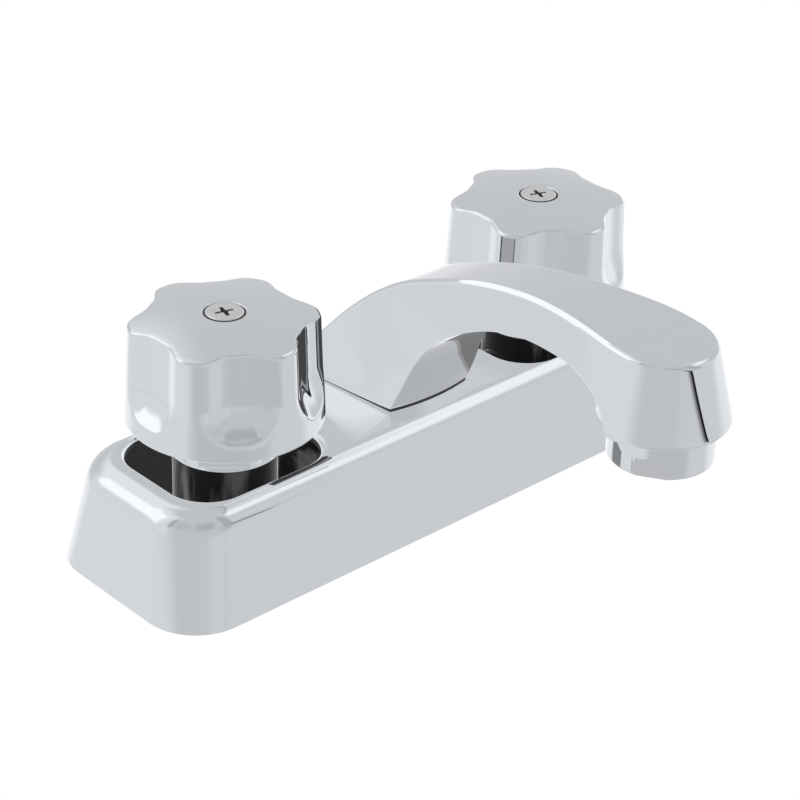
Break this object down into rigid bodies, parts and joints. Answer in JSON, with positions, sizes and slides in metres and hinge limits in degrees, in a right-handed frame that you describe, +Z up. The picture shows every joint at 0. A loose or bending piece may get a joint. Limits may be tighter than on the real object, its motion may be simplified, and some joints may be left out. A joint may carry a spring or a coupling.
{
  "type": "basin mixer tap",
  "caption": "Deck-mounted centreset basin mixer with a boxy cover, fluted round knobs on quarter-turn valves and a fixed arched spout with an aerator.",
  "frame": {"origin": "on the deck face (z = 0), under the middle of the cover, halfway between the two valves", "axes": "+X along the deck from the hot valve to the cold valve, the spout reaches towards -Y, +Z up"},
  "size_m": [0.1684, 0.1303, 0.1198],
  "materials": {
    "chrome": "bright chrome plate",
    "steel": "bright zinc or nickel plate",
    "brass": "turned",
    "black_plastic": "glossy moulded",
    "white_plastic": "moulded",
    "rubber": "matt",
    "ceramic": "ground"
  },
  "bodies": {
    "tap_body": {"cover": "chrome", "base_plate": "black_plastic", "underbody": "black_plastic", "spout": "chrome", "spout_gasket": "rubber", "spout_washer": "steel", "spout_nut": "brass", "spout_nipple": "brass", "aerator_housing": "chrome", "aerator_insert": "white_plastic", "aerator_washer": "rubber", "hot_seat_seal": "rubber", "hot_fixed_disc": "ceramic", "hot_cartridge_sleeve": "brass", "hot_stem_ring": "rubber", "hot_bonnet_nut": "chrome", "hot_mounting_washer": "steel", "hot_mounting_nut": "brass", "cold_seat_seal": "rubber", "cold_fixed_disc": "ceramic", "cold_cartridge_sleeve": "brass", "cold_stem_ring": "rubber", "cold_bonnet_nut": "chrome", "cold_mounting_washer": "steel", "cold_mounting_nut": "brass"},
    "hot_handle": {"hot_knob": "chrome", "hot_stem": "brass", "hot_handle_screw": "steel", "hot_moving_disc": "ceramic"},
    "cold_handle": {"cold_knob": "chrome", "cold_stem": "brass", "cold_handle_screw": "steel", "cold_moving_disc": "ceramic"}
  },
  "joints": [
    {"name": "hot_turn", "type": "hinge", "parent": "tap_body", "child": "hot_handle", "pos_m": [-0.0508, 0, 0.045], "axis": [0, 0, 1], "range_deg": [0, 90]},
    {"name": "cold_turn", "type": "hinge", "parent": "tap_body", "child": "cold_handle", "pos_m": [0.0508, 0, 0.045], "axis": [0, 0, -1], "range_deg": [0, 90]}
  ]
}
